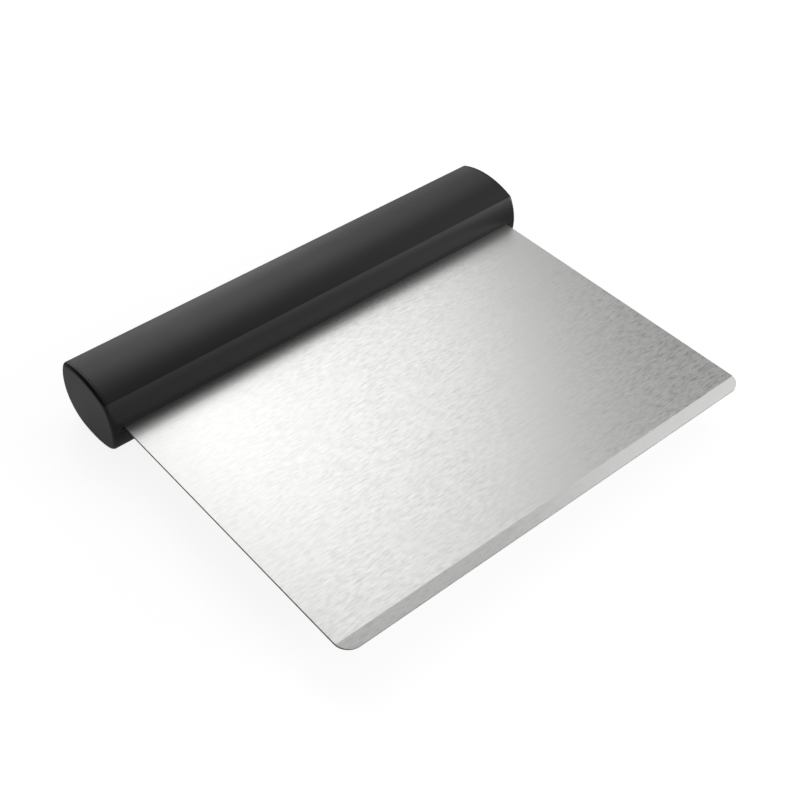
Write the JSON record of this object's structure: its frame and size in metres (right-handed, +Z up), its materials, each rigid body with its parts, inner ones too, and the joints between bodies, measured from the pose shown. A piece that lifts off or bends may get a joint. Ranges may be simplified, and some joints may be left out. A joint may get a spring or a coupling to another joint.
{
  "type": "griddle scraper",
  "caption": "Wide griddle scraper: a thin rectangular steel blade with a bevelled working edge and rounded corners, held in a full-width black barrel-shaped handle with flat capped ends.",
  "frame": {"origin": "on the plane that the underside of the handle touches, under the middle of the tool's bounding box", "axes": "+Z up, square to the flat of the blade; +X along the handle, to the right when the tool is seen from above with the handle at the far side; -Y from the handle to the blade's working edge"},
  "size_m": [0.16, 0.1318, 0.024],
  "materials": {
    "blade_steel": "stainless sheet with a fine brushed grain along the handle",
    "handle_nylon": "satin black glass-filled nylon",
    "clamp_nylon": "dull black glass-filled nylon, as moulded",
    "screw_steel": "plain stainless"
  },
  "bodies": {
    "root": {"blade": "blade_steel", "handle_shell": "handle_nylon", "end_cap_left": "handle_nylon", "end_cap_right": "handle_nylon", "upper_clamp": "clamp_nylon", "lower_clamp": "clamp_nylon", "clamp_screw_1": "screw_steel", "clamp_screw_2": "screw_steel", "clamp_screw_3": "screw_steel", "clamp_screw_4": "screw_steel", "clamp_screw_5": "screw_steel"}
  },
  "joints": []
}
